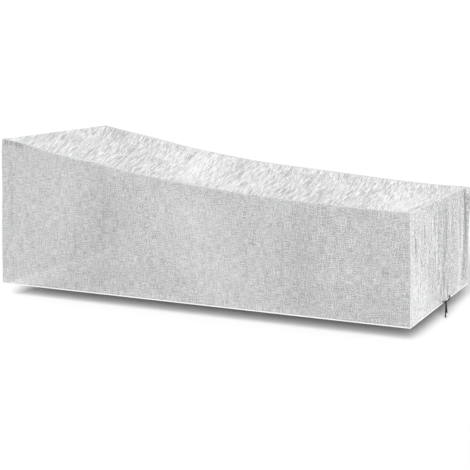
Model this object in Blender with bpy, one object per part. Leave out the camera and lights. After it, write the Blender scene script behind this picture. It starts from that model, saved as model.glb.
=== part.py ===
"""Fitted outdoor cover, long and low, sewn from woven polyethylene.

Five cut panels make a box that is open below: a top that falls from the high head end in one long hollow curve to
the low foot end, two sides whose upper edges are cut to that curve, and a plain panel at each end. The hem stands
out a little all round. A drawcord runs in the hem, comes out at the foot end and is tied there.

Metres. Panels are laid out from the head end (x) and the near side (y), with heights measured from the hem. The
part's origin is where its load bears on the cloth: under the middle of the top panel.
"""

import math
from collections import namedtuple

import bmesh
import bpy
from mathutils import Vector

# The cut
LENGTH = 2.000
WIDTH = 0.920
HEAD_HEIGHT = 0.700
FOOT_HEIGHT = 0.475
TOP_CURVE = 1.9  # power of the top's hollow curve: 1 is straight, higher falls sooner
HEM_FLARE = 0.020  # how far the hem stands out from the seams above it, on every side
TOP_SAG = 0.006  # the unsupported middle of the top hangs this much under the seams

# The cloth
CLOTH = 0.0020
HEM_DEPTH = 0.018
HEM_STEP = 0.005  # height over which the hem's extra thickness dies away
HEM_BULGE = 0.0012  # folded cloth and the cord inside it push the hem out this far
SEAM_FADE = 0.060  # folds die away over this distance from a seam
GAP = 0.0003  # between pieces that touch
SEAM_GAP = 0.0004  # between the top panel and the edges it is sewn to, along its slope

# The drawcord
CORD = 0.0055
CORD_SLIT_GAP = 0.0005
CORD_STEP = 1.6  # diameters between the points of a cord
KNOT_RADII = Vector((0.0062, 0.0082, 0.0072))
KNOT_TURNS = 3  # ridges of wound cord round the knot
KNOT_TWIST = 1.4  # how far, in radians, the ridges wind round for each radius along the knot
KNOT_RIDGE = 0.05  # height of those ridges as a share of the radius

# Grids
TOP_GRID = (80, 12)
SIDE_COLUMNS = 40
FOOT_COLUMNS = 36
HEAD_COLUMNS = 18
HEM_ROWS = 2
WALL_ROWS = 6  # the hem's bulge and its step take two of them, the wall above takes the rest
SHARP_EDGE = math.radians(35)

# A seam that isn't quite on the curve: where along it, half the length it covers, and how far it rises.
Swell = namedtuple("Swell", "place reach rise")
SEAM_SWELLS = {
    "near": (Swell(0.13, 0.15, 0.006), Swell(0.55, 0.21, 0.006), Swell(1.52, 0.60, 0.0045)),
    "far": (Swell(0.27, 0.25, 0.004), Swell(1.36, 0.60, 0.010)),
}

# Folds of the top panel. place is where the fold crosses the middle of the width, lean how far it moves towards the
# head for each metre towards the far side, reach half its width, depth how low it lies (a ridge is negative), and
# start and end where it begins and dies away across the width.
FOLD_FADE = 0.625  # a fold dies away this share of its length from its middle
TopFold = namedtuple("TopFold", "place lean reach depth start end")
TOP_FOLDS = (
    TopFold(0.20, 0.30, 0.07, 0.003, 0.05, 0.70),
    TopFold(0.41, 0.30, 0.06, 0.004, 0.25, 0.92),
    TopFold(0.70, 0.34, 0.05, 0.008, 0.38, 0.95),
    TopFold(0.775, 0.30, 0.06, -0.005, 0.26, 0.92),
    TopFold(1.08, 0.27, 0.15, -0.004, 0.00, 0.92),
    TopFold(1.42, 0.29, 0.12, 0.008, 0.00, 0.92),
    TopFold(1.69, 0.16, 0.05, 0.004, 0.40, 0.92),
    TopFold(1.77, 0.12, 0.05, -0.004, 0.22, 0.84),
    TopFold(1.87, 0.12, 0.05, 0.005, 0.40, 0.94),
)

# Upright folds of the side and end panels: place along the panel in x or y, lean along it for each metre of height,
# reach half its width, and depth inwards (a ridge is negative).
WallFold = namedtuple("WallFold", "place lean reach depth")
WALL_FOLDS = {
    "near": (
        WallFold(0.32, 0.10, 0.14, 0.003),
        WallFold(0.58, 0.00, 0.10, -0.003),
        WallFold(1.12, -0.10, 0.20, 0.004),
        WallFold(1.54, 0.06, 0.13, -0.004),
        WallFold(1.80, 0.00, 0.12, 0.003),
    ),
    "far": (
        WallFold(0.42, -0.12, 0.16, 0.005),
        WallFold(0.90, 0.05, 0.13, -0.003),
        WallFold(1.33, 0.10, 0.18, 0.004),
        WallFold(1.72, -0.05, 0.12, -0.004),
    ),
    "foot": (
        WallFold(0.20, 0.10, 0.07, -0.002),
        WallFold(0.51, -0.05, 0.09, 0.003),
        WallFold(0.69, 0.05, 0.06, -0.003),
        WallFold(0.85, 0.02, 0.05, 0.007),
    ),
    "head": (WallFold(0.27, 0.08, 0.12, 0.004), WallFold(0.62, -0.06, 0.14, -0.003)),
}

# Routes of the drawcord: out is the distance from the foot hem's outer face, across is y, height is from the hem.
Stop = namedtuple("Stop", "out across height")
KNOT = Stop(0.0080, 0.5017, 0.0024)
LEG_NEAR = (
    Stop(CORD_SLIT_GAP, 0.4672, 0.0115),
    Stop(0.0040, 0.4672, 0.0115),
    Stop(0.0082, 0.4728, 0.0080),
    Stop(0.0088, 0.4825, 0.0030),
)
LEG_FAR = (
    Stop(CORD_SLIT_GAP, 0.5765, 0.0150),
    Stop(0.0040, 0.5765, 0.0150),
    Stop(0.0084, 0.5700, 0.0120),
    Stop(0.0088, 0.5540, 0.0075),
    Stop(0.0084, 0.5380, 0.0045),
    Stop(0.0080, 0.5220, 0.0030),
)
TAIL_SPACING = 0.0064  # between the tails where they leave the knot
TAIL_SHORT = (Stop(0.0086, 0.5053, -0.016), Stop(0.0096, 0.5066, -0.034), Stop(0.0096, 0.5086, -0.0505))
TAIL_LONG = (Stop(0.0078, 0.4985, -0.020), Stop(0.0066, 0.4980, -0.044), Stop(0.0062, 0.4990, -0.0690))

COLOURS = {
    "cloth_top": ((0.84, 0.85, 0.86), 0.45),
    "cloth_wall": ((0.72, 0.74, 0.75), 0.50),
    "cord": ((0.02, 0.02, 0.02), 0.80),
}


# ---------------------------------------------------------------- shapes of the cloth


def bump(distance, reach):
    """A soft rise from 0 at reach to 1 in the middle."""
    if abs(distance) >= reach:
        return 0.0
    return 0.5 + 0.5 * math.cos(math.pi * distance / reach)


def ease(amount):
    """0 below 0, 1 above 1, and a smooth step between."""
    amount = min(max(amount, 0.0), 1.0)
    return amount * amount * (3.0 - 2.0 * amount)


def between_seams(distance, width):
    """1 in the middle of a panel, dying away to 0 at the two seams."""
    return ease(distance / SEAM_FADE) * ease((width - distance) / SEAM_FADE)


def seam_height(side, x):
    """Height of a top seam above the hem."""
    left = max(1.0 - x / LENGTH, 0.0)
    height = FOOT_HEIGHT + (HEAD_HEIGHT - FOOT_HEIGHT) * left**TOP_CURVE
    return height + sum(swell.rise * bump(x - swell.place, swell.reach) for swell in SEAM_SWELLS[side])


def top_height(x, y):
    """Height of the top panel's upper face above the hem."""
    across = y / WIDTH
    height = seam_height("near", x) * (1.0 - across) + seam_height("far", x) * across
    loose = between_seams(x, LENGTH) * between_seams(y, WIDTH)
    height -= TOP_SAG * math.sin(math.pi * across) * math.sin(math.pi * x / LENGTH)
    for fold in TOP_FOLDS:
        along = bump(y - (fold.start + fold.end) / 2, FOLD_FADE * (fold.end - fold.start))
        middle = fold.place - fold.lean * (y - WIDTH / 2)
        height -= loose * along * fold.depth * bump(x - middle, fold.reach)
    return height


def wall_push(wall, along, length, height, top):
    """How far a wall stands out at one point: its hem's bulge, less its folds."""
    loose = between_seams(along, length) * ease((height - HEM_DEPTH) / SEAM_FADE) * ease((top - height) / SEAM_FADE)
    push = HEM_BULGE * (1.0 - ease((height - HEM_DEPTH) / HEM_STEP))
    for fold in WALL_FOLDS[wall]:
        push -= loose * fold.depth * bump(along - fold.place - fold.lean * height, fold.reach)
    return push


def foot_face(height):
    """x of the foot end's outer face by its hem, where it has no folds."""
    return LENGTH + HEM_FLARE * (1.0 - height / FOOT_HEIGHT) + HEM_BULGE


BEARING_HEIGHT = top_height(LENGTH / 2, WIDTH / 2) - CLOTH


def part_point(x, y, height):
    """A point laid out from the head end, the near side and the hem, in the part's own frame."""
    return Vector((x - LENGTH / 2, y - WIDTH / 2, height - BEARING_HEIGHT))


# ---------------------------------------------------------------- materials


def material(name):
    """The plain finish of a kind of piece."""
    colour, roughness = COLOURS[name]
    made = bpy.data.materials.get(name) or bpy.data.materials.new(name)
    made.use_nodes = True
    shader = made.node_tree.nodes["Principled BSDF"]
    shader.inputs["Base Color"].default_value = (*colour, 1.0)
    shader.inputs["Roughness"].default_value = roughness
    shader.inputs["Metallic"].default_value = 0.0
    return made


def add_object(name, data, finish):
    """Puts one piece in the scene."""
    data.materials.append(material(finish))
    piece = bpy.data.objects.new(name, data)
    bpy.context.scene.collection.objects.link(piece)
    return piece


# ---------------------------------------------------------------- panels


def sew_panel(name, columns, rows, place, hem_rows, finish):
    """One cut of cloth: a flat grid, moved to its outer face by place(column share, row) and thickened inwards."""
    cut = bmesh.new()
    bmesh.ops.create_grid(cut, x_segments=columns, y_segments=rows, size=0.5)
    cut.verts.ensure_lookup_table()
    hem = []
    for vert in cut.verts:
        row = round((vert.co.y + 0.5) * rows)
        if row < hem_rows:
            hem.append(vert.index)
        vert.co = place(vert.co.x + 0.5, row)
    mesh = bpy.data.meshes.new(name)
    cut.to_mesh(mesh)
    cut.free()
    mesh.shade_smooth()
    mesh.set_sharp_from_angle(angle=SHARP_EDGE)
    panel = add_object(name, mesh, finish)
    thick = panel.modifiers.new("cloth", "SOLIDIFY")
    thick.thickness = CLOTH
    thick.offset = -1.0
    thick.use_even_offset = True
    if hem:
        group = panel.vertex_groups.new(name="hem")
        group.add(hem, 1.0, "REPLACE")
        thick.vertex_group = group.name
        thick.thickness = CLOTH + HEM_BULGE
        thick.thickness_vertex_group = CLOTH / (CLOTH + HEM_BULGE)
    return panel


def row_height(row, top):
    """Height of a wall's row: two at the hem, one where its bulge has died away, then even steps to its top."""
    fixed = (0.0, HEM_DEPTH, HEM_DEPTH + HEM_STEP)
    if row < len(fixed):
        return fixed[row]
    fixed_rows = len(fixed) - 1
    return fixed[-1] + (top - fixed[-1]) * (row - fixed_rows) / (WALL_ROWS - fixed_rows)


def top_place(share, row):
    x = share * LENGTH
    y = row / TOP_GRID[1] * WIDTH
    return part_point(x, y, top_height(x, y))


def seam_slope(side, x):
    """How steeply a top seam rises towards the foot."""
    step = 0.001
    return (seam_height(side, x + step) - seam_height(side, x - step)) / (2 * step)


def wall_top(x, side):
    """Height of a wall's upper edge, under the sloping top panel."""
    return seam_height(side, x) - (CLOTH + SEAM_GAP) * math.hypot(1.0, seam_slope(side, x))


def side_place(side):
    """Where a side panel's points go. The far side runs from foot to head, so that both face outwards."""
    outward = -1.0 if side == "near" else 1.0
    seam_y = 0.0 if side == "near" else WIDTH

    def place(share, row):
        x = (share if side == "near" else 1.0 - share) * LENGTH
        top = wall_top(x, side)
        height = row_height(row, top)
        flare = HEM_FLARE * (1.0 - height / top)
        push = wall_push(side, x, LENGTH, height, top)
        spread = flare * (2.0 * x / LENGTH - 1.0)
        return part_point(x + spread, seam_y + outward * (flare + push), height)

    return place


def end_place(end):
    """Where an end panel's points go: between the inner faces of the side panels."""
    outward = -1.0 if end == "head" else 1.0
    seam_x = 0.0 if end == "head" else LENGTH
    inset = CLOTH + GAP
    lower = CLOTH * abs(seam_slope("near", seam_x))  # the top panel falls this much over the wall's thickness

    def place(share, row):
        across = 1.0 - share if end == "head" else share
        top = wall_top(seam_x, "near") * (1.0 - across) + wall_top(seam_x, "far") * across - lower
        height = row_height(row, top)
        flare = HEM_FLARE * (1.0 - height / top)
        y = -flare + inset + across * (WIDTH + 2.0 * (flare - inset))
        push = wall_push(end, across * WIDTH, WIDTH, height, top)
        return part_point(seam_x + outward * (flare + push), y, height)

    return place


# ---------------------------------------------------------------- drawcord


def stop_point(stop):
    """A point of the cord's route in the part's frame."""
    return part_point(foot_face(stop.height) + stop.out, stop.across, stop.height)


def smooth_route(points):
    """Points CORD_STEP diameters apart on a smooth curve through the route."""
    ends = [2 * points[0] - points[1], *points, 2 * points[-1] - points[-2]]
    route = [points[0]]
    for before, start, end, after in zip(ends, ends[1:], ends[2:], ends[3:]):
        steps = max(round((end - start).length / (CORD_STEP * CORD)), 1)
        for step in range(1, steps + 1):
            t = step / steps
            curve = 2 * start + (end - before) * t + (2 * before - 5 * start + 4 * end - after) * t**2
            route.append((curve + (3 * start - before - 3 * end + after) * t**3) / 2)
    return route


def lay_cord(name, points):
    """A free stretch of the drawcord."""
    route = smooth_route(points)
    cord = bpy.data.curves.new(name, "CURVE")
    cord.dimensions = "3D"
    cord.bevel_depth = CORD / 2
    cord.bevel_resolution = 2
    cord.use_fill_caps = True
    spline = cord.splines.new("POLY")
    spline.points.add(len(route) - 1)
    for point, place in zip(spline.points, route):
        point.co = (*place, 1.0)
        point.radius = 1.0
    return add_object(name, cord, "cord")


def tie_knot(name, centre):
    """The knot: an egg of cord with the ridges of its turns winding round it."""
    knot = bmesh.new()
    bmesh.ops.create_uvsphere(knot, u_segments=18, v_segments=12, radius=1.0)
    for vert in knot.verts:
        way = vert.co.copy()
        turn = math.atan2(way.z, way.x) + KNOT_TWIST * way.y
        level = math.hypot(way.x, way.z)
        ridge = 1.0 - KNOT_RIDGE * level * (0.5 - 0.5 * math.cos(KNOT_TURNS * turn))
        vert.co = centre + Vector(a * r * ridge for a, r in zip(way, KNOT_RADII))
    mesh = bpy.data.meshes.new(name)
    knot.to_mesh(mesh)
    knot.free()
    mesh.shade_smooth()
    return add_object(name, mesh, "cord")


# ---------------------------------------------------------------- the cover


def main():
    for old in list(bpy.data.objects):
        bpy.data.objects.remove(old, do_unlink=True)

    sew_panel("top_panel", *TOP_GRID, top_place, 0, "cloth_top")
    for side in ("near", "far"):
        sew_panel(f"side_panel_{side}", SIDE_COLUMNS, WALL_ROWS, side_place(side), HEM_ROWS, "cloth_wall")
    for end, columns in (("foot", FOOT_COLUMNS), ("head", HEAD_COLUMNS)):
        sew_panel(f"end_panel_{end}", columns, WALL_ROWS, end_place(end), HEM_ROWS, "cloth_wall")

    knot = stop_point(KNOT)
    tie_knot("drawcord_knot", knot)
    beside = Vector((0.0, KNOT_RADII.y + GAP, 0.0))
    below = Vector((0.0, 0.0, -KNOT_RADII.z - GAP))
    apart = Vector((0.0, TAIL_SPACING / 2, 0.0))
    lay_cord("drawcord_leg_near", [*map(stop_point, LEG_NEAR), knot - beside])
    lay_cord("drawcord_leg_far", [*map(stop_point, LEG_FAR), knot + beside])
    lay_cord("drawcord_tail_short", [knot + below + apart, *map(stop_point, TAIL_SHORT)])
    lay_cord("drawcord_tail_long", [knot + below - apart, *map(stop_point, TAIL_LONG)])


main()
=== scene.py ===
"""Fitted outdoor cover, sewn from five cuts of see-through woven polyethylene, with a drawcord tied at its foot hem.

Metres, in the part's own frame: +X from the high head end to the low foot end, +Y from the near side to the far
side, +Z up. Panels are laid out from the head end (x) and the near side (y), with heights measured from the hem.
"""

import math
from collections import namedtuple

import bmesh
import bpy
from mathutils import Matrix, Vector, noise


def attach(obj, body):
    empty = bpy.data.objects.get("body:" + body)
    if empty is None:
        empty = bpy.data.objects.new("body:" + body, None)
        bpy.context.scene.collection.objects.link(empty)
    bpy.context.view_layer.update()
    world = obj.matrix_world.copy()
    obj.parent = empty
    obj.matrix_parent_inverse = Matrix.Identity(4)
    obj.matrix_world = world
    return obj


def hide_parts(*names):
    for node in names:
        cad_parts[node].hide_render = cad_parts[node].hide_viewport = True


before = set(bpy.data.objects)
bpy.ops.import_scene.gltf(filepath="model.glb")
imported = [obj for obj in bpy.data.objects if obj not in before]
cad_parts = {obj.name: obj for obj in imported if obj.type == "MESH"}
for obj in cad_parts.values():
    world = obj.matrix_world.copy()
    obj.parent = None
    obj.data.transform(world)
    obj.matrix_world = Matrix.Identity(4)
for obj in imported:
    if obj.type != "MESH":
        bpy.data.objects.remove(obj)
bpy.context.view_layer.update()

# ---------------------------------------------------------------- the view
# A long lens, from beyond the foot end and a little above the cover, so that the near side, the top and the foot end
# all show.
CAMERA_PLACE = (2.3114, -4.8717, 0.6471)
CAMERA_TURN = 0.4433  # from +Y towards the head end
CAMERA_DROP = 0.1726  # below the horizon
LENS = 87.11
SENSOR = 36.0

camera_data = bpy.data.cameras.new("camera")
camera_data.lens = LENS
camera_data.sensor_width = SENSOR
camera = bpy.data.objects.new("camera", camera_data)
camera.location = CAMERA_PLACE
camera.rotation_euler = (math.pi / 2 - CAMERA_DROP, 0.0, CAMERA_TURN)
bpy.context.scene.collection.objects.link(camera)
bpy.context.scene.camera = camera

# ---------------------------------------------------------------- the drawcord
# One black cord, braided from sixteen strands of polyester round a soft core, 5.5 mm thick. It runs inside the hem,
# comes out of it at two places in the foot end, and is tied there. Both of its ends are cut and sealed with heat, so
# each ends in a small hard bead.
LENGTH = 2.000
WIDTH = 0.920
FOOT_HEIGHT = 0.475
HEM_FLARE = 0.020  # how far the hem stands out from the seams above it
HEM_BULGE = 0.0012  # and how far its thickness pushes its face out again
BEARING_HEIGHT = 0.53090  # the part's origin is this far above the hem

CORD = 0.0055
CORD_STEP = 0.6  # diameters between the points of a cord
BEAD = (1.08, 1.16, 1.04, 0.55)  # radius of the sealed end's last points, as a share of the cord's
STRAND = 0.0011  # length along the cord of one braided strand's diamond
STRANDS_ROUND = 8  # diamonds round the cord, half as many as the strands
STRAND_RISE = 0.00025
BRAIDED = 0.13  # length of cord, about, that its UV map stretches over

# Routes: out is the distance from the foot hem's outer face, across is y, height is from the hem.
Stop = namedtuple("Stop", "out across height")
KNOT = Stop(0.0080, 0.5017, 0.0024)
CORD_ROUTES = {
    "near": (
        Stop(0.0005, 0.4672, 0.0115),
        Stop(0.0040, 0.4672, 0.0115),
        Stop(0.0082, 0.4728, 0.0080),
        Stop(0.0088, 0.4825, 0.0030),
        Stop(0.0080, 0.4950, 0.0024),
        Stop(0.0080, 0.4983, 0.0000),
        Stop(0.0080, 0.4985, -0.0051),
        Stop(0.0078, 0.4985, -0.0200),
        Stop(0.0066, 0.4980, -0.0440),
        Stop(0.0062, 0.4990, -0.0690),
    ),
    "far": (
        Stop(0.0005, 0.5765, 0.0150),
        Stop(0.0040, 0.5765, 0.0150),
        Stop(0.0084, 0.5700, 0.0120),
        Stop(0.0088, 0.5540, 0.0075),
        Stop(0.0084, 0.5380, 0.0045),
        Stop(0.0080, 0.5220, 0.0030),
        Stop(0.0080, 0.5084, 0.0024),
        Stop(0.0080, 0.5051, 0.0000),
        Stop(0.0080, 0.5049, -0.0051),
        Stop(0.0086, 0.5053, -0.0160),
        Stop(0.0096, 0.5066, -0.0340),
        Stop(0.0096, 0.5086, -0.0505),
    ),
}


def part_point(x, y, height):
    """A point laid out from the head end, the near side and the hem, in the part's own frame."""
    return Vector((x - LENGTH / 2, y - WIDTH / 2, height - BEARING_HEIGHT))


def stop_point(stop):
    """A point of the cord's route in the part's frame."""
    hem_face = LENGTH + HEM_FLARE * (1.0 - stop.height / FOOT_HEIGHT) + HEM_BULGE
    return part_point(hem_face + stop.out, stop.across, stop.height)


def smooth_route(points, spacing):
    """Points at about that spacing on a smooth curve through the route."""
    ends = [2 * points[0] - points[1], *points, 2 * points[-1] - points[-2]]
    route = [points[0]]
    for before, start, end, after in zip(ends, ends[1:], ends[2:], ends[3:]):
        steps = max(round((end - start).length / spacing), 1)
        for step in range(1, steps + 1):
            t = step / steps
            curve = 2 * start + (end - before) * t + (2 * before - 5 * start + 4 * end - after) * t**2
            route.append((curve + (3 * start - before - 3 * end + after) * t**3) / 2)
    return route


def linear(colour):
    """A colour given as an sRGB hex value, as the linear one that shaders take."""
    parts = (int(colour[i : i + 2], 16) / 255 for i in (1, 3, 5))
    return (*(c / 12.92 if c <= 0.04045 else ((c + 0.055) / 1.055) ** 2.4 for c in parts), 1.0)


def add_node(tree, kind, inputs=(), **settings):
    """Adds a node with its settings. Each input is given by name or number, and takes a value or a link."""
    made = tree.nodes.new("ShaderNode" + kind)
    for name, value in settings.items():
        setattr(made, name, value)
    for name, value in dict(inputs).items():
        if isinstance(value, bpy.types.NodeSocket):
            tree.links.new(value, made.inputs[name])
        else:
            made.inputs[name].default_value = value
    return made


def add_curve(name, routes, radius, closed=False):
    """A curve object of round section along each route, a list of (point, share of the radius)."""
    curve = bpy.data.curves.new(name, "CURVE")
    curve.dimensions = "3D"
    curve.bevel_depth = radius
    curve.bevel_resolution = 3
    curve.use_fill_caps = True
    for route in routes:
        spline = curve.splines.new("POLY")
        spline.points.add(len(route) - 1)
        spline.use_cyclic_u = closed
        for point, (place, share) in zip(spline.points, route):
            point.co = (*place, 1.0)
            point.radius = share
        spline.use_smooth = True
    return bpy.data.objects.new(name, curve)


def add_piece(piece, material, slot, *nodes):
    """Puts a finished piece in the scene, on the part's one body, in place of the CAD nodes named."""
    piece.data.materials.append(material)
    bpy.context.scene.collection.objects.link(piece)
    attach(piece, "root")
    if nodes:
        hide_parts(*nodes)


def new_material(name, shader_inputs):
    """A material with a lone Principled shader, and its node tree."""
    made = bpy.data.materials.new(name)
    made.use_nodes = True
    made.node_tree.nodes.clear()
    shader = add_node(made.node_tree, "BsdfPrincipled", shader_inputs)
    output = made.node_tree.nodes.new("ShaderNodeOutputMaterial")
    made.node_tree.links.new(shader.outputs[0], output.inputs[0])
    return made, made.node_tree, shader


# Braided polyester: dull black with a soft sheen on each strand, which crosses its neighbours in small diamonds.
braid, tree, shader = new_material(
    "braided_polyester_black", {"Roughness": 0.75, "Sheen Weight": 0.06, "Specular IOR Level": 0.3}
)
around = add_node(tree, "TexCoord")
size = (BRAIDED / STRAND, STRANDS_ROUND, 1)
strands = add_node(
    tree, "Mapping", {"Vector": around.outputs["UV"], "Rotation": (0, 0, math.pi / 4), "Scale": size}
)
diamonds = add_node(tree, "TexChecker", {"Vector": strands.outputs[0], "Scale": 1.0})
black = add_node(
    tree, "Mix", {0: diamonds.outputs["Fac"], 6: linear("#070708"), 7: linear("#121214")}, data_type="RGBA"
)
rise = add_node(tree, "Bump", {"Height": diamonds.outputs["Fac"], "Distance": STRAND_RISE, "Strength": 1.0})
tree.links.new(black.outputs[2], shader.inputs["Base Color"])
tree.links.new(rise.outputs[0], shader.inputs["Normal"])

# The knot: the two legs wound round each other once more and pulled tight, a hard lump three cords wide. The cord's
# line in it is a closed trefoil, which the turns below draw.
KNOT_LOOP = Vector((0.0024, 0.00185, 0.00165))
KNOT_STEPS = 60
knot_turns = []
for step in range(KNOT_STEPS):
    turn = 2 * math.pi * step / KNOT_STEPS
    way = Vector(
        (
            -math.sin(3 * turn),
            math.cos(turn) - 2 * math.cos(2 * turn),
            math.sin(turn) + 2 * math.sin(2 * turn),
        )
    )
    knot_turns.append((stop_point(KNOT) + way * KNOT_LOOP, 1.0))
knot = add_curve("drawcord_knot_tied", [knot_turns], CORD / 2, closed=True)
add_piece(knot, braid, "cord", "drawcord_knot")

tails = {"near": "drawcord_tail_long", "far": "drawcord_tail_short"}
for side, route in CORD_ROUTES.items():
    points = smooth_route([stop_point(stop) for stop in route], CORD_STEP * CORD)
    shares = [1.0] * (len(points) - len(BEAD)) + list(BEAD)
    cord = add_curve(f"drawcord_{side}_half", [list(zip(points, shares))], CORD / 2)
    add_piece(cord, braid, "cord", f"drawcord_leg_{side}", tails[side])

# ---------------------------------------------------------------- the top panel
# One cut of woven polyethylene, head to foot, falling in one long hollow curve. The cloth is woven from flat tapes
# and coated on both sides, so it is thin, smooth and stiff like paper, and keeps the creases it was packed with. They
# run across the panel and lean towards the head at the far side.
HEAD_HEIGHT = 0.700
TOP_CURVE = 1.9  # power of the top's hollow curve: 1 is straight, higher falls sooner
TOP_SAG = 0.006  # the unsupported middle of the top hangs this much under the seams
SEAM_FADE = 0.060  # the large folds die away over this distance from a seam
CREASE_FADE = 0.012  # and the fine creases over this one
FOLD_FADE = 0.625  # a fold dies away this share of its length from its middle
SHEET = 0.0007  # three times the real cloth's thickness
TOP_GRID = (560, 84)

# A seam that isn't quite on the curve: where along it, half the length it covers, and how far it rises.
Swell = namedtuple("Swell", "place reach rise")
SEAM_SWELLS = {
    "near": (Swell(0.13, 0.15, 0.006), Swell(0.55, 0.21, 0.006), Swell(1.52, 0.60, 0.0045)),
    "far": (Swell(0.27, 0.25, 0.004), Swell(1.36, 0.60, 0.010)),
}

# Two top corners are drawn out lengthways in an ear, which dies away down the upright seam and to both sides of it.
# It is given by how far out it goes, the height of its middle, half its height, and its width to either side.
Ear = namedtuple("Ear", "out height reach width")
EARS = {("far", "foot"): Ear(0.0170, 0.475, 0.285, 0.040), ("near", "head"): Ear(0.0095, 0.66, 0.24, 0.050)}

# Folds of the top panel. place is where the fold crosses the middle of the width, lean how far it moves towards the
# head for each metre towards the far side, reach half its width, depth how low it lies (a ridge is negative), and
# start and end where it begins and dies away across the width.
TopFold = namedtuple("TopFold", "place lean reach depth start end")
TOP_FOLDS = (
    TopFold(0.20, 0.30, 0.07, 0.003, 0.05, 0.70),
    TopFold(0.41, 0.30, 0.06, 0.004, 0.25, 0.92),
    TopFold(0.70, 0.34, 0.05, 0.008, 0.38, 0.95),
    TopFold(0.775, 0.30, 0.06, -0.005, 0.26, 0.92),
    TopFold(1.08, 0.27, 0.15, -0.004, 0.00, 0.92),
    TopFold(1.42, 0.29, 0.12, 0.008, 0.00, 0.92),
    TopFold(1.69, 0.16, 0.05, 0.004, 0.40, 0.92),
    TopFold(1.77, 0.12, 0.05, -0.004, 0.22, 0.84),
    TopFold(1.87, 0.12, 0.05, 0.005, 0.40, 0.94),
)

# Fine creases: across and along are the size of one, height how far it stands out, and seed which set it is.
Creases = namedtuple("Creases", "across along height seed")
TOP_CREASES = (
    Creases(0.015, 0.340, 0.0013, 3.7),
    Creases(0.008, 0.180, 0.0009, 11.2),
)
LEAN_HEAD, LEAN_FOOT = 0.46, 0.18  # how far they lean to the head for each metre across, by the head and the foot
PATCH, PATCH_SEED = 0.22, 0.5  # they come in patches about this wide
PATCH_LEVEL, PATCH_SWING = 0.8, 0.8  # their share of that height, on average, and how far it varies by the patch
MEANDER, MEANDER_SEED = 0.010, 7.5  # and they wander this far to either side
CREST, FALL = 0.5, 2.2  # a crest's share of that height, and how steeply its two sides fall from there
HOLLOW_PAINTED_SHADE = 0.06  # a large fold's hollow is painted greyer as shade, as much as a fine crease this share as deep would be
# Painted light and shade on the top: broad paler and greyer parts, as if it stood this much out or in.
TOP_PAINTED_LIGHT_AND_SHADE = (
    TopFold(0.25, 0.30, 0.16, 0.00050, 0.50, 1.40),
    TopFold(0.38, 0.30, 0.30, 0.00050, 0.30, 1.30),
    TopFold(0.69, 0.30, 0.10, -0.00095, 0.30, 1.20),
    TopFold(0.82, 0.30, 0.18, -0.00090, -0.40, 1.30),
    TopFold(1.03, 0.30, 0.14, -0.00060, -0.50, 0.50),
    TopFold(1.47, 0.30, 0.10, -0.00070, 0.20, 0.80),
    TopFold(1.76, 0.30, 0.10, -0.00040, 0.20, 0.80),
    TopFold(1.86, 0.30, 0.20, -0.00150, -0.50, 0.85),
)

# Single sharp creases, given where the photograph shows one: place is at the crease's own middle, and the rest
# is as in the folds.
Crimp = namedtuple("Crimp", "place lean reach depth start end")
TOP_CRIMPS = (
    Crimp(0.130, 0.46, 0.012, 0.0020, 0.10, 0.62),
    Crimp(0.225, 0.44, 0.012, -0.0020, 0.20, 0.86),
    Crimp(0.310, 0.42, 0.014, 0.0025, 0.02, 0.55),
    Crimp(0.395, 0.40, 0.012, -0.0018, 0.25, 0.90),
    Crimp(0.480, 0.38, 0.012, 0.0022, 0.04, 0.50),
    Crimp(0.545, 0.36, 0.013, -0.0022, 0.40, 0.91),
    Crimp(0.630, 0.32, 0.018, 0.0035, 0.50, 0.91),
    Crimp(0.668, 0.31, 0.016, -0.0030, 0.46, 0.90),
    Crimp(0.740, 0.30, 0.012, 0.0016, 0.04, 0.44),
    Crimp(0.850, 0.30, 0.013, -0.0022, 0.06, 0.60),
    Crimp(0.925, 0.30, 0.012, 0.0020, 0.42, 0.90),
    Crimp(1.025, 0.30, 0.014, 0.0030, 0.22, 0.72),
    Crimp(1.052, 0.30, 0.012, -0.0024, 0.20, 0.68),
    Crimp(1.170, 0.29, 0.013, 0.0028, 0.48, 0.90),
    Crimp(1.215, 0.28, 0.012, -0.0020, 0.03, 0.52),
    Crimp(1.330, 0.28, 0.014, 0.0030, 0.30, 0.90),
    Crimp(1.430, 0.28, 0.012, -0.0022, 0.10, 0.70),
    Crimp(1.500, 0.27, 0.013, 0.0030, 0.04, 0.55),
    Crimp(1.590, 0.25, 0.012, -0.0024, 0.25, 0.88),
    Crimp(1.665, 0.24, 0.012, 0.0022, 0.50, 0.90),
    Crimp(1.735, 0.22, 0.013, 0.0028, 0.42, 0.90),
    Crimp(1.790, 0.20, 0.012, -0.0024, 0.08, 0.60),
    Crimp(1.850, 0.20, 0.012, 0.0026, 0.02, 0.36),
    Crimp(1.915, 0.18, 0.012, 0.0024, 0.34, 0.88),
)


def bump(distance, reach):
    """A soft rise from 0 at reach to 1 in the middle."""
    if abs(distance) >= reach:
        return 0.0
    return 0.5 + 0.5 * math.cos(math.pi * distance / reach)


def ease(amount):
    """0 below 0, 1 above 1, and a smooth step between."""
    amount = min(max(amount, 0.0), 1.0)
    return amount * amount * (3.0 - 2.0 * amount)


def between_seams(distance, width, fade):
    """1 in the middle of a panel, dying away to 0 at the two seams."""
    return ease(distance / fade) * ease((width - distance) / fade)


def creased(across, along, sets):
    """Height of the fine creases at a point, with sharp crests and round hollows."""
    patch = PATCH_LEVEL + PATCH_SWING * noise.noise(Vector((across / PATCH, along / PATCH, PATCH_SEED)))
    across += MEANDER * noise.noise(Vector((across / PATCH, 2.0 * along / PATCH, MEANDER_SEED)))
    height = 0.0
    for crease in sets:
        wave = noise.noise(Vector((across / crease.across, along / crease.along, crease.seed)))
        height += crease.height * patch * (CREST - FALL * abs(wave))
    return height


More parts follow.
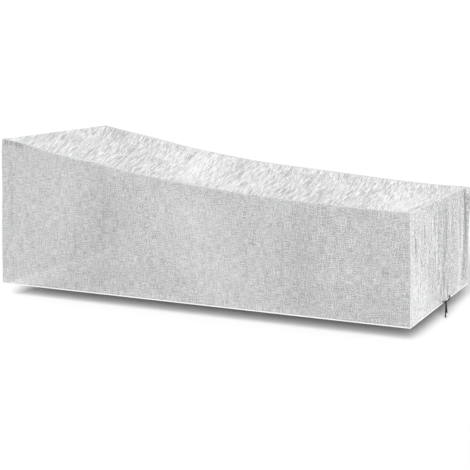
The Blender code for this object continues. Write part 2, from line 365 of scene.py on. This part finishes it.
def crimped(across, along, crimps):
    """Height of the single sharp creases at a point."""
    height = 0.0
    for crimp in crimps:
        beyond = along - (crimp.start + crimp.end) / 2
        off = abs(across - crimp.place + crimp.lean * beyond) / crimp.reach
        if off < 1.0:
            height -= crimp.depth * (1.0 - off) ** 2 * bump(beyond, (crimp.end - crimp.start) / 2)
    return height


def seam_height(side, x):
    """Height of a top seam above the hem."""
    left = max(1.0 - x / LENGTH, 0.0)
    height = FOOT_HEIGHT + (HEAD_HEIGHT - FOOT_HEIGHT) * left**TOP_CURVE
    return height + sum(swell.rise * bump(x - swell.place, swell.reach) for swell in SEAM_SWELLS[side])


def ear_out(side, end, beside, height):
    """How far an upright seam's ear stands out, at a distance to one side of the seam."""
    if (side, end) not in EARS:
        return 0.0
    ear = EARS[side, end]
    return ear.out * bump(height - ear.height, ear.reach) * ease(1.0 - beside / ear.width)


def top_spread(x, y):
    """How far the ears draw a point of the top panel towards the foot."""
    spread = 0.0
    for (side, end), ear in EARS.items():
        beside = y if side == "near" else WIDTH - y
        before, way = (x, -1.0) if end == "head" else (LENGTH - x, 1.0)
        spread += way * ear_out(side, end, before, seam_height(side, x)) * ease(1.0 - beside / ear.width)
    return spread


def top_hollow(x, y, folds):
    """How low those folds of the top panel lie at a point."""
    loose = between_seams(x, LENGTH, SEAM_FADE) * between_seams(y, WIDTH, SEAM_FADE)
    hollow = 0.0
    for fold in folds:
        along = bump(y - (fold.start + fold.end) / 2, FOLD_FADE * (fold.end - fold.start))
        middle = fold.place - fold.lean * (y - WIDTH / 2)
        hollow += loose * along * fold.depth * bump(x - middle, fold.reach)
    return hollow


def top_base(x, y):
    """Height of the top panel above the hem, without any fold."""
    across = y / WIDTH
    height = seam_height("near", x) * (1.0 - across) + seam_height("far", x) * across
    return height - TOP_SAG * math.sin(math.pi * across) * math.sin(math.pi * x / LENGTH)


def cut_panel(name, columns, rows, place, size):
    """One cut of cloth: a grid, thickened inwards. place(share along it, row) gives three things: a point of the
    outer face, its tone, and where it is across and along the creases. The tone is how far its creases stand out,
    with painted shade from its large folds and broad painted light and shade. The finish reads the last two as the
    attributes "crest" and "run". The UV map is the flat cut in metres, so that the weave keeps its size."""
    cut = bmesh.new()
    flat = cut.loops.layers.uv.new("flat_cut")
    crest_and_shade = cut.verts.layers.float.new("crest_and_shade")
    run = cut.verts.layers.float_vector.new("run")
    bmesh.ops.create_grid(cut, x_segments=columns, y_segments=rows, size=0.5)
    for face in cut.faces:
        for loop in face.loops:
            loop[flat].uv = ((loop.vert.co.x + 0.5) * size[0], (loop.vert.co.y + 0.5) * size[1])
    for vert in cut.verts:
        vert.co, vert[crest_and_shade], vert[run] = place(vert.co.x + 0.5, round((vert.co.y + 0.5) * rows))
    mesh = bpy.data.meshes.new(name)
    cut.to_mesh(mesh)
    cut.free()
    mesh.shade_smooth()
    panel = bpy.data.objects.new(name, mesh)
    thick = panel.modifiers.new("cloth", "SOLIDIFY")
    thick.thickness = SHEET
    thick.offset = -1.0
    return panel


# Woven polyethylene, coated: a milky white film with a soft sheen, through which things show faintly. Flat tapes
# 2.6 mm wide cross under the coating. Slack ones lift it in streaks: short ones both ways on the walls, and on the
# top long ones that run with its creases. They are drawn 3 mm wide and more, and 13 mm on the crumpled foot end, to
# show at the photograph's distance.
TAPE = 0.0026
TAPE_RISE = 0.00012
Streaks = namedtuple("Streaks", "wide long share")  # width across the creases, length along them, and strength
WALL_STREAKS = (Streaks(0.0030, 0.040, 0.7), Streaks(0.040, 0.0030, 0.7), Streaks(0.0034, 0.0034, 1.8))
FOOT_STREAKS = (Streaks(0.013, 0.020, 1.0), Streaks(0.013, 0.0055, 1.8))
TOP_STREAKS = (Streaks(0.0046, 0.150, 1.6), Streaks(0.0032, 0.030, 1.2))
STREAK_RISE = 0.0012
CREST_PALE_AND_SHADE = 300.0  # the top of a crease is stretched pale and its hollow painted grey as shade, as are the painted fold shade and tones: by this share of the range for each metre it stands out
ALPHA = 0.65  # one layer hides this share of what is behind it
LAYERS_ALPHA = 0.95  # and a seam or a folded edge, with its several layers, this share


def woven(name, pale, dark, alpha, roughness, streaks, spread):
    """The cloth's finish, in the colours that its streaks vary between, the more sharply the smaller the spread."""
    made, tree, shader = new_material(name, {"Alpha": alpha, "Roughness": roughness, "IOR": 1.5})
    flat = add_node(tree, "TexCoord").outputs["UV"]
    run = add_node(tree, "Attribute", attribute_name="run")
    ways = add_node(tree, "SeparateXYZ", {0: flat})
    rounds = []
    for way in ways.outputs[:2]:
        tape = add_node(tree, "Math", {0: way, 1: math.pi / TAPE}, operation="MULTIPLY")
        wave = add_node(tree, "Math", {0: tape.outputs[0]}, operation="SINE")
        rounds.append(add_node(tree, "Math", {0: wave.outputs[0]}, operation="ABSOLUTE").outputs[0])
    over = add_node(tree, "TexChecker", {"Vector": flat, "Scale": 1.0 / TAPE})
    tapes = add_node(tree, "Mix", {0: over.outputs["Fac"], 2: rounds[0], 3: rounds[1]})
    slack = -sum(streak.share for streak in streaks) / 2
    for streak in streaks:
        size = (1.0 / streak.wide, 1.0 / streak.long, 1.0)
        stretch = add_node(tree, "Mapping", {"Vector": run.outputs["Vector"], "Scale": size})
        drawn = add_node(tree, "TexNoise", {"Vector": stretch.outputs[0], "Scale": 1.0, "Detail": 1.0})
        strength = {0: drawn.outputs["Fac"], 1: streak.share, 2: slack}
        slack = add_node(tree, "Math", strength, operation="MULTIPLY_ADD").outputs[0]
    grain = add_node(tree, "Bump", {"Height": slack, "Distance": STREAK_RISE, "Strength": 1.0})
    crossed = {"Height": tapes.outputs[0], "Distance": TAPE_RISE, "Strength": 1.0, "Normal": grain.outputs[0]}
    weave = add_node(tree, "Bump", crossed)
    level = add_node(tree, "MapRange", {"Value": slack, "From Min": -spread, "From Max": spread})
    # The tone attribute pales or greys the colour: stretched crease tops are paler, and crease hollows, folds and
    # broad areas carry painted shade and light.
    crest_and_shade = add_node(tree, "Attribute", attribute_name="crest_and_shade")
    paling_and_shading = {0: crest_and_shade.outputs["Fac"], 1: CREST_PALE_AND_SHADE, 2: level.outputs[0]}
    paled_and_shaded = add_node(tree, "Math", paling_and_shading, operation="MULTIPLY_ADD", use_clamp=True)
    mixed = {0: paled_and_shaded.outputs[0], 6: linear(dark), 7: linear(pale)}
    colour = add_node(tree, "Mix", mixed, data_type="RGBA")
    tree.links.new(colour.outputs[2], shader.inputs["Base Color"])
    tree.links.new(weave.outputs[0], shader.inputs["Normal"])
    return made


def top_place(share, row):
    """A point of the top panel's outer face, its tone from the creases with painted shade and light, and where it is
    on the creases.
    """
    x = share * LENGTH
    y = row / TOP_GRID[1] * WIDTH
    hollow = top_hollow(x, y, TOP_FOLDS)
    across = x + (LEAN_HEAD + (LEAN_FOOT - LEAN_HEAD) * share) * (y - WIDTH / 2)
    free = between_seams(x, LENGTH, CREASE_FADE) * between_seams(y, WIDTH, CREASE_FADE)
    crease = free * (creased(across, y, TOP_CREASES) + crimped(x, y, TOP_CRIMPS))
    point = part_point(x + top_spread(x, y), y, top_base(x, y) - hollow + crease)
    # Its tone: the fine creases' height, less painted shade in the large folds' hollows and the broad painted light
    # and shade.
    return point, crease - HOLLOW_PAINTED_SHADE * hollow - top_hollow(x, y, TOP_PAINTED_LIGHT_AND_SHADE), (across, y, 0.0)


# The top's copy of the cloth is painted paler than the walls', as lit from above.
top_cloth = woven("woven_polyethylene_top", "#FEFEFE", "#ACADAF", ALPHA, 0.30, TOP_STREAKS, 0.17)
top = cut_panel("top_panel_cloth", *TOP_GRID, top_place, (LENGTH, WIDTH))
add_piece(top, top_cloth, "cloth_top", "top_panel")

# ---------------------------------------------------------------- the side panels
# Two cuts of the same cloth, their top edges shaped to the curve. They hang from their seams in soft upright folds,
# and their lower edges are turned up twice into an 18 mm hem with the cord inside, which pushes it out.
HEM_DEPTH = 0.018
HEM_STEP = 0.005  # height over which the hem's extra thickness dies away
HEM_EDGE = 0.0055  # the folded edge itself, four layers thick, is white and hardly lets light through
HEM_ROWS = (0.0, 0.001, 0.003, 0.0055, 0.008, 0.0105, 0.013, 0.0155, 0.018, 0.0205, 0.023)
SIDE_GRID = (400, 90)
BELLY = 0.004  # halfway up, a wall stands out this much more than straight from seam to hem

# Upright folds of the side and end panels: place along the panel in x or y, lean along it for each metre of height,
# reach half its width, and depth inwards (a ridge is negative).
WallFold = namedtuple("WallFold", "place lean reach depth")
WALL_FOLDS = {
    "near": (
        WallFold(0.32, 0.10, 0.14, 0.003),
        WallFold(0.58, 0.00, 0.10, -0.003),
        WallFold(1.12, -0.10, 0.20, 0.004),
        WallFold(1.54, 0.06, 0.13, -0.004),
        WallFold(1.80, 0.00, 0.12, 0.003),
    ),
    "far": (
        WallFold(0.42, -0.12, 0.16, 0.005),
        WallFold(0.90, 0.05, 0.13, -0.003),
        WallFold(1.33, 0.10, 0.18, 0.004),
        WallFold(1.72, -0.05, 0.12, -0.004),
    ),
    "foot": (
        WallFold(0.20, 0.10, 0.07, -0.002),
        WallFold(0.51, -0.05, 0.09, 0.003),
        WallFold(0.69, 0.05, 0.06, -0.003),
        WallFold(0.85, 0.02, 0.05, 0.007),
    ),
    "head": (WallFold(0.27, 0.08, 0.12, 0.004), WallFold(0.62, -0.06, 0.14, -0.003)),
}
WALL_CREASES = {
    "near": (Creases(0.030, 0.120, 0.0003, 1.3), Creases(0.012, 0.060, 0.0002, 6.1)),
    "far": (Creases(0.030, 0.120, 0.0003, 2.9), Creases(0.012, 0.060, 0.0002, 7.4)),
    "foot": (Creases(0.022, 0.100, 0.0008, 4.4), Creases(0.010, 0.040, 0.0007, 8.8)),
    "head": (Creases(0.026, 0.130, 0.0005, 5.6), Creases(0.012, 0.060, 0.0003, 9.5)),
}
# Small tucks under the near seam at its head end, each on a column of the side's grid. They fall with the seam.
TUCK_PLACES = (0.015, 0.025, 0.040, 0.050, 0.065, 0.075, 0.090, 0.105)
TUCK_REACH, TUCK_DEPTH = 0.006, 0.0032
TUCK_START, TUCK_END = 0.666, 0.724
TUCK_FALL = 0.20
TUCKS = [
    Crimp(x, 0.00, TUCK_REACH, TUCK_DEPTH, TUCK_START - TUCK_FALL * x, TUCK_END - TUCK_FALL * x)
    for x in TUCK_PLACES
]
# Upright creases: most of all by the foot end's far corner, from hem to seam, and short puckers in the middle of that
# end, where the cord gathers its hem.
WALL_CRIMPS = {
    "near": (
        Crimp(0.055, 0.00, 0.010, 0.0006, 0.05, 0.66),
        Crimp(0.560, 0.02, 0.012, 0.0005, 0.10, 0.60),
        Crimp(1.440, -0.02, 0.012, 0.0006, 0.06, 0.46),
        Crimp(1.665, 0.02, 0.012, -0.0007, 0.05, 0.44),
        *TUCKS,
    ),
    "far": (Crimp(0.700, 0.02, 0.012, 0.0007, 0.06, 0.56), Crimp(1.500, -0.03, 0.012, -0.0007, 0.05, 0.44)),
    "foot": (
        Crimp(0.066, 0.05, 0.011, 0.0018, 0.20, 0.50),
        Crimp(0.120, 0.02, 0.010, -0.0014, 0.04, 0.46),
        Crimp(0.196, -0.04, 0.011, 0.0020, 0.18, 0.50),
        Crimp(0.265, 0.03, 0.011, 0.0014, 0.06, 0.42),
        Crimp(0.325, 0.04, 0.010, -0.0020, 0.20, 0.50),
        Crimp(0.380, -0.02, 0.010, -0.0014, 0.10, 0.46),
        Crimp(0.425, -0.04, 0.011, 0.0022, 0.20, 0.50),
        Crimp(0.452, 0.06, 0.009, 0.0018, -0.08, 0.14),
        Crimp(0.477, 0.03, 0.008, -0.0018, -0.10, 0.17),
        Crimp(0.503, 0.00, 0.009, 0.0022, -0.10, 0.20),
        Crimp(0.532, -0.03, 0.008, -0.0020, -0.10, 0.18),
        Crimp(0.563, -0.05, 0.009, 0.0020, -0.08, 0.16),
        Crimp(0.594, -0.06, 0.009, -0.0014, -0.06, 0.12),
        Crimp(0.485, 0.03, 0.010, -0.0022, 0.20, 0.50),
        Crimp(0.545, -0.02, 0.012, 0.0024, 0.18, 0.50),
        Crimp(0.608, 0.03, 0.010, -0.0022, 0.20, 0.50),
        Crimp(0.655, 0.02, 0.010, 0.0018, 0.12, 0.46),
        Crimp(0.735, 0.02, 0.011, -0.0026, 0.06, 0.46),
        Crimp(0.790, 0.01, 0.011, 0.0030, 0.02, 0.46),
        Crimp(0.835, 0.01, 0.010, -0.0026, 0.02, 0.47),
        Crimp(0.887, 0.00, 0.020, 0.0040, 0.10, 0.62),
    ),
    "head": (Crimp(0.180, 0.03, 0.012, 0.0016, 0.06, 0.62), Crimp(0.700, -0.03, 0.012, -0.0016, 0.08, 0.64)),
}
# Painted shade from a wall's large folds: the two ends are painted greyer in their hollows, and the sides over their
# ridges. Broad paler and greyer parts, painted light and shade, come on top, written as folds too.
WALL_FOLD_PAINTED_SHADE = {"near": -0.06, "far": -0.06, "foot": 0.16, "head": 0.09}
WALL_PAINTED_LIGHT_AND_SHADE = {
    "near": (
        WallFold(0.06, 0.30, 0.24, -0.00018),
        WallFold(0.30, 0.80, 0.32, 0.00030),
        WallFold(1.32, -1.00, 0.34, -0.00028),
        WallFold(1.52, 0.06, 0.15, 0.00012),
        WallFold(1.80, 0.00, 0.14, 0.00022),
    ),
    "far": (WallFold(0.62, 0.50, 0.22, 0.00035), WallFold(1.62, 0.00, 0.20, 0.00025)),
    "foot": (
        WallFold(0.04, 0.00, 0.32, -0.00030),
        WallFold(0.16, -1.00, 0.32, -0.00070),
        WallFold(0.56, 0.00, 0.17, 0.00020),
        WallFold(0.70, 0.00, 0.08, 0.00050),
        WallFold(0.73, 0.34, 0.06, -0.00110),
        WallFold(0.80, 0.40, 0.13, 0.00030),
        WallFold(1.076, -0.36, 0.045, 0.00090),
    ),
    "head": (WallFold(0.46, 0.00, 0.24, 0.00030),),
}


def wall_hollow(along, height, folds):
    """How low those upright folds lie at a point."""
    return sum(fold.depth * bump(along - fold.place - fold.lean * height, fold.reach) for fold in folds)


def wall_push(wall, along, length, height, top):
    """How far a wall stands out at one point; its tone, which is how far its creases alone stand out with painted
    shade from its folds and broad painted light and shade; and where the point is across and along those creases."""
    loose = between_seams(along, length, SEAM_FADE) * ease((top - height) / SEAM_FADE)
    hollow = loose * ease((height - HEM_DEPTH) / SEAM_FADE) * wall_hollow(along, height, WALL_FOLDS[wall])
    free = between_seams(along, length, CREASE_FADE) * ease((top - height) / CREASE_FADE)
    crease = free * (creased(along, height, WALL_CREASES[wall]) + crimped(along, height, WALL_CRIMPS[wall]))
    push = HEM_BULGE * (1.0 - ease((height - HEM_DEPTH) / HEM_STEP)) - hollow + crease
    # Painted shade from the large folds, and broad painted light and shade.
    painted_shade = WALL_FOLD_PAINTED_SHADE[wall] * hollow + wall_hollow(along, height, WALL_PAINTED_LIGHT_AND_SHADE[wall])
    return push, crease - painted_shade, (along, height, 0.0)


def row_height(row, rows, top):
    """Height of a wall's row: close together over the hem, then even steps to its top."""
    if row < len(HEM_ROWS):
        return HEM_ROWS[row]
    left = (row - len(HEM_ROWS) + 1) / (rows - len(HEM_ROWS) + 1)
    return HEM_ROWS[-1] + (top - HEM_ROWS[-1]) * left


def flare_out(height, top):
    """How far a wall stands out from the seam above it."""
    down = 1.0 - height / top
    return HEM_FLARE * down + 4.0 * BELLY * down * (1.0 - down)


def side_point(side, x, height):
    """A point of a side panel's outer face, its tone from the creases with painted shade and light, and where it is
    on the creases.
    """
    top = seam_height(side, x) - SHEET
    flare = flare_out(height, top)
    push, crest_and_shade, run = wall_push(side, x, LENGTH, height, top)
    y = -flare - push if side == "near" else WIDTH + flare + push
    spread = flare * (2.0 * x / LENGTH - 1.0)
    spread += ear_out(side, "foot", LENGTH - x, height) - ear_out(side, "head", x, height)
    return part_point(x + spread, y, height), crest_and_shade, run


def side_place(side):
    """Where a side panel's points go. The far side runs from foot to head, so that both face outwards."""

    def place(share, row):
        x = (share if side == "near" else 1.0 - share) * LENGTH
        return side_point(side, x, row_height(row, SIDE_GRID[1], seam_height(side, x) - SHEET))

    return place


def dress_wall(panel, rows, node, cloth):
    """Gives a wall its cloth, and its folded edge the cloth's four layers."""
    edge_rows = sum(height <= HEM_EDGE for height in HEM_ROWS) - 1
    add_piece(panel, cloth, "cloth_wall", node)
    panel.data.materials.append(edge_cloth)
    columns = len(panel.data.polygons) // rows
    for face in panel.data.polygons[: edge_rows * columns]:
        face.material_index = 1


# The same cloth, hanging: duller than on the top, rougher because it isn't pulled tight, and painted greyer as the
# shade of walls that the light from above falls on less. The foot end, crumpled by its cord, has paler and darker
# specks. The folded edge is nearly white.
wall_cloth = woven("woven_polyethylene_wall", "#F2F2F3", "#A2A3A4", ALPHA, 0.42, WALL_STREAKS, 0.24)
foot_cloth = woven("woven_polyethylene_foot", "#FBFBFC", "#999A9B", ALPHA, 0.36, FOOT_STREAKS, 0.42)
edge_cloth = woven("woven_polyethylene_four_layers", "#FBFBFC", "#EEEFF0", LAYERS_ALPHA, 0.45, WALL_STREAKS, 0.3)
for side in ("near", "far"):
    panel = cut_panel(f"side_panel_{side}_cloth", *SIDE_GRID, side_place(side), (LENGTH, FOOT_HEIGHT))
    dress_wall(panel, SIDE_GRID[1], f"side_panel_{side}", wall_cloth)

# ---------------------------------------------------------------- the end panels
# Two plain cuts, hemmed like the sides. The foot end is creased upright, most of all near its far corner, where the
# drawcord pulls the hem in.
FOOT_GRID = (230, 80)
HEAD_GRID = (120, 90)
FOOT_CUT = (0.96, 0.505)
HEAD_CUT = (0.96, 0.73)


def end_top(end, across):
    """Height of an end panel's upper edge."""
    seam_x = 0.0 if end == "head" else LENGTH
    return seam_height("near", seam_x) * (1.0 - across) + seam_height("far", seam_x) * across - SHEET


def end_point(end, across, height):
    """A point of an end panel's outer face, between the inner faces of the side panels, its tone from the creases
    with painted shade and light, and where it is on the creases."""
    top = end_top(end, across)
    flare = flare_out(height, top)
    y = -flare + SHEET + across * (WIDTH + 2.0 * (flare - SHEET))
    push, crest_and_shade, run = wall_push(end, across * WIDTH, WIDTH, height, top)
    push += ear_out("near", end, across * WIDTH, height) + ear_out("far", end, (1.0 - across) * WIDTH, height)
    x = -flare - push if end == "head" else LENGTH + flare + push
    return part_point(x, y, height), crest_and_shade, run


def end_place(end, rows):
    """Where an end panel's points go. The head end runs from the far side to the near one, to face outwards."""

    def place(share, row):
        across = 1.0 - share if end == "head" else share
        return end_point(end, across, row_height(row, rows, end_top(end, across)))

    return place


for end, grid, cut, height, cloth in (
    ("foot", FOOT_GRID, FOOT_CUT, FOOT_HEIGHT, foot_cloth),
    ("head", HEAD_GRID, HEAD_CUT, HEAD_HEIGHT, wall_cloth),
):
    panel = cut_panel(f"end_panel_{end}_cloth", *grid, end_place(end, grid[1]), (WIDTH, height))
    dress_wall(panel, grid[1], f"end_panel_{end}", cloth)

# ---------------------------------------------------------------- the seams
# The panels meet with their cut edges turned inside. Outside, each seam is a slim welt of doubled cloth that wanders
# a little. Beside it, and along the top of the hem, runs a row of lockstitch in white polyester thread. The two slits
# that the drawcord comes out of are bound in the same thread.
WELT = 0.0009  # half its thickness
WELT_STEP = 0.012
WELT_WANDER = 0.0005
WANDER_LENGTH = 0.045
WANDER_SEED = 1  # noise in three directions differs from run to run without one
STITCH_STEP = 0.0042
STITCH = Vector((0.0033, 0.0007, 0.0007))  # length, width and height, half of it sunk in the cloth
STITCH_INSET = 0.006  # from the welt
HEM_STITCHES = 0.0155  # above the hem's edge
SLIT = (0.0042, 0.0034)  # half its length across and half its height
SLIT_RIM = 0.0006  # half the thickness of its binding
SLIT_STEPS = 24


def walk(length, step):
    """Even places from 0 to length, about a step apart."""
    count = round(length / step)
    return [length * place / count for place in range(count + 1)]


def wander(point):
    """A point moved a little off its line."""
    return point + noise.noise_vector(point / WANDER_LENGTH) * WELT_WANDER


noise.seed_set(WANDER_SEED)
welts = []
for side in ("near", "far"):
    welts.append([side_point(side, x, seam_height(side, x) - SHEET)[0] for x in walk(LENGTH, WELT_STEP)])
    for x in (0.0, LENGTH):
        welts.append([side_point(side, x, height)[0] for height in walk(seam_height(side, x), WELT_STEP)])
for end in ("foot", "head"):
    welts.append([end_point(end, across, end_top(end, across))[0] for across in walk(1.0, WELT_STEP / WIDTH)])

# Doubled cloth: paler than the single cloth beside it, hardly see-through, and wrinkled every few millimetres.
WRINKLE = 0.003
WRINKLE_RISE = 0.0008
welt_cloth, tree, shader = new_material(
    "woven_polyethylene_doubled", {"Roughness": 0.45, "Alpha": LAYERS_ALPHA, "IOR": 1.5}
)
place = add_node(tree, "TexCoord")
wrinkles = add_node(tree, "TexNoise", {"Vector": place.outputs["Object"], "Scale": 1.0 / WRINKLE, "Detail": 2.0})
welt_colour = add_node(
    tree, "Mix", {0: wrinkles.outputs["Fac"], 6: linear("#C2C3C4"), 7: linear("#F4F4F4")}, data_type="RGBA"
)
welt_rise = add_node(tree, "Bump", {"Height": wrinkles.outputs["Fac"], "Distance": WRINKLE_RISE, "Strength": 1.0})
tree.links.new(welt_colour.outputs[2], shader.inputs["Base Color"])
tree.links.new(welt_rise.outputs[0], shader.inputs["Normal"])

welt = add_curve("seam_welts", [[(wander(point), 1.0) for point in line] for line in welts], WELT)
add_piece(welt, welt_cloth, "cloth_wall")

# Twisted polyester thread, white, with the soft sheen of its filaments, which show as flecks about 1 mm long.
FLECKS = 900.0  # to the metre
thread, tree, shader = new_material("twisted_polyester_thread_white", {"Roughness": 0.5, "Sheen Weight": 0.2})
place = add_node(tree, "TexCoord")
twist = add_node(tree, "TexNoise", {"Vector": place.outputs["Object"], "Scale": FLECKS, "Detail": 1.0})
thread_colour = add_node(
    tree, "Mix", {0: twist.outputs["Fac"], 6: linear("#D6D7D8"), 7: linear("#FBFBFB")}, data_type="RGBA"
)
tree.links.new(thread_colour.outputs[2], shader.inputs["Base Color"])

# Rows of stitches: their places, and the way that the cloth faces there.
LEFT, RIGHT = Vector((0.0, -1.0, 0.0)), Vector((0.0, 1.0, 0.0))
BACK, FRONT = Vector((-1.0, 0.0, 0.0)), Vector((1.0, 0.0, 0.0))
rows = []
for side, faces in (("near", LEFT), ("far", RIGHT)):
    for down in (None, STITCH_INSET):
        line = []
        for x in walk(LENGTH, STITCH_STEP)[2:-2]:
            height = HEM_STITCHES if down is None else seam_height(side, x) - SHEET - down
            line.append(side_point(side, x, height)[0])
        rows.append((line, faces))
    for x in (STITCH_INSET, LENGTH - STITCH_INSET):
        heights = walk(seam_height(side, x) - SHEET, STITCH_STEP)[1:-2]
        rows.append(([side_point(side, x, height)[0] for height in heights], faces))
for end, faces in (("foot", FRONT), ("head", BACK)):
    for down in (None, STITCH_INSET):
        line = []
        for across in walk(1.0, STITCH_STEP / WIDTH)[2:-2]:
            height = HEM_STITCHES if down is None else end_top(end, across) - down
            line.append(end_point(end, across, height)[0])
        rows.append((line, faces))

# Each stitch is a slim bead of eight faces, made once and copied along the rows.
bead = bmesh.new()
bmesh.ops.create_uvsphere(bead, u_segments=4, v_segments=2, radius=0.5)
bead.verts.index_update()
sewn = bmesh.new()
for line, faces in rows:
    for start, end in zip(line, line[1:]):
        along = (end - start).normalized()
        beside = faces.cross(along).normalized()
        laid = Matrix((along * STITCH.x, beside * STITCH.y, faces * STITCH.z)).transposed().to_4x4()
        laid.translation = (start + end) / 2
        tips = [sewn.verts.new(laid @ vert.co) for vert in bead.verts]
        for face in bead.faces:
            sewn.faces.new([tips[vert.index] for vert in face.verts])
stitch_mesh = bpy.data.meshes.new("seam_stitches")
sewn.to_mesh(stitch_mesh)
sewn.free()
bead.free()
stitch_mesh.shade_smooth()
add_piece(bpy.data.objects.new("seam_stitches", stitch_mesh), thread, "cloth_wall")

slits = []
for route in CORD_ROUTES.values():
    rim = []
    for step in range(SLIT_STEPS):
        turn = 2 * math.pi * step / SLIT_STEPS
        across, height = SLIT[0] * math.cos(turn), SLIT[1] * math.sin(turn)
        rim.append((stop_point(Stop(SLIT_RIM, route[0].across + across, route[0].height + height)), 1.0))
    slits.append(rim)
add_piece(add_curve("drawcord_slit_rims", slits, SLIT_RIM, closed=True), thread, "cloth_wall")

# ---------------------------------------------------------------- the stage
# A plain white floor, 78 mm under the hem, and soft daylight from above the foot end, with a weaker fill from behind.
# The floor has a lower light of its own, which reaches in under the hem, so that its shadow is deep behind the hem
# and gone in front of it.
FLOOR_HEIGHT = -0.078
FLOOR_SIZE = 60.0
SUN_FROM = Vector((0.65, -0.50, 1.0))
SUN_STRENGTH = 4.2
SUN_ANGLE = math.radians(40)
FILL_FROM = Vector((-0.70, 0.80, 0.50))
FILL_STRENGTH = 1.5
FILL_ANGLE = math.radians(90)
FLOOR_SUN_FROM = Vector((0.226, -0.885, 0.408))
FLOOR_SUN_STRENGTH = 7.5
FLOOR_SUN_ANGLE = math.radians(27)
SKY_LIGHT = 0.20
SKY_SEEN = 1.1
WHITE = (1.0, 1.0, 1.0, 1.0)

floor_paint, _, _ = new_material("floor_white_paint", {"Base Color": linear("#ECECEC"), "Roughness": 0.9})
shade_paint, _, _ = new_material("shade_grey_paint", {"Base Color": linear("#868686"), "Roughness": 0.9})


def add_plane(name, size, height, paint):
    """A level rectangle of the stage, centred under the cover."""
    shape = bmesh.new()
    bmesh.ops.create_grid(shape, x_segments=1, y_segments=1, size=0.5)
    bmesh.ops.scale(shape, verts=shape.verts, vec=(*size, 1.0))
    bmesh.ops.translate(shape, verts=shape.verts, vec=part_point(LENGTH / 2, WIDTH / 2, height))
    mesh = bpy.data.meshes.new(name)
    shape.to_mesh(mesh)
    shape.free()
    mesh.materials.append(paint)
    plane = bpy.data.objects.new(name, mesh)
    bpy.context.scene.collection.objects.link(plane)
    return plane


floor = add_plane("floor", (FLOOR_SIZE, FLOOR_SIZE), FLOOR_HEIGHT, floor_paint)
# It lies in the cover's mouth, is never seen, and keeps the light that comes through the cloth off the floor.
shade = add_plane("shade", (LENGTH + HEM_FLARE, WIDTH + HEM_FLARE), 0.0, shade_paint)
for ray in ("camera", "glossy", "transmission"):
    setattr(shade, f"visible_{ray}", False)

for name, place, strength, angle, pieces, reaches_them in (
    ("sun", SUN_FROM, SUN_STRENGTH, SUN_ANGLE, [floor], "EXCLUDE"),
    ("fill", FILL_FROM, FILL_STRENGTH, FILL_ANGLE, [floor, top], "EXCLUDE"),
    ("floor_sun", FLOOR_SUN_FROM, FLOOR_SUN_STRENGTH, FLOOR_SUN_ANGLE, [floor], "INCLUDE"),
):
    light_data = bpy.data.lights.new(name, "SUN")
    light_data.energy = strength
    light_data.angle = angle
    light = bpy.data.objects.new(name, light_data)
    light.rotation_euler = place.to_track_quat("Z", "Y").to_euler()
    bpy.context.scene.collection.objects.link(light)
    lit = bpy.data.collections.new(f"{name}_lights")
    for piece in pieces:
        lit.objects.link(piece)
    for link in lit.collection_objects:
        link.light_linking.link_state = reaches_them
    light.light_linking.receiver_collection = lit

world = bpy.data.worlds.new("daylight")
world.use_nodes = True
bpy.context.scene.world = world
world.node_tree.nodes.clear()
path = add_node(world.node_tree, "LightPath")
seen = add_node(
    world.node_tree,
    "Math",
    {0: path.outputs["Is Camera Ray"], 1: path.outputs["Is Glossy Ray"]},
    operation="MAXIMUM",
)
strength = add_node(world.node_tree, "Mix", {0: seen.outputs[0], 2: SKY_LIGHT, 3: SKY_SEEN})
sky = add_node(world.node_tree, "Background", {"Color": WHITE, "Strength": strength.outputs[0]})
world_output = world.node_tree.nodes.new("ShaderNodeOutputWorld")
world.node_tree.links.new(sky.outputs[0], world_output.inputs[0])
bpy.context.scene.view_settings.view_transform = "Standard"
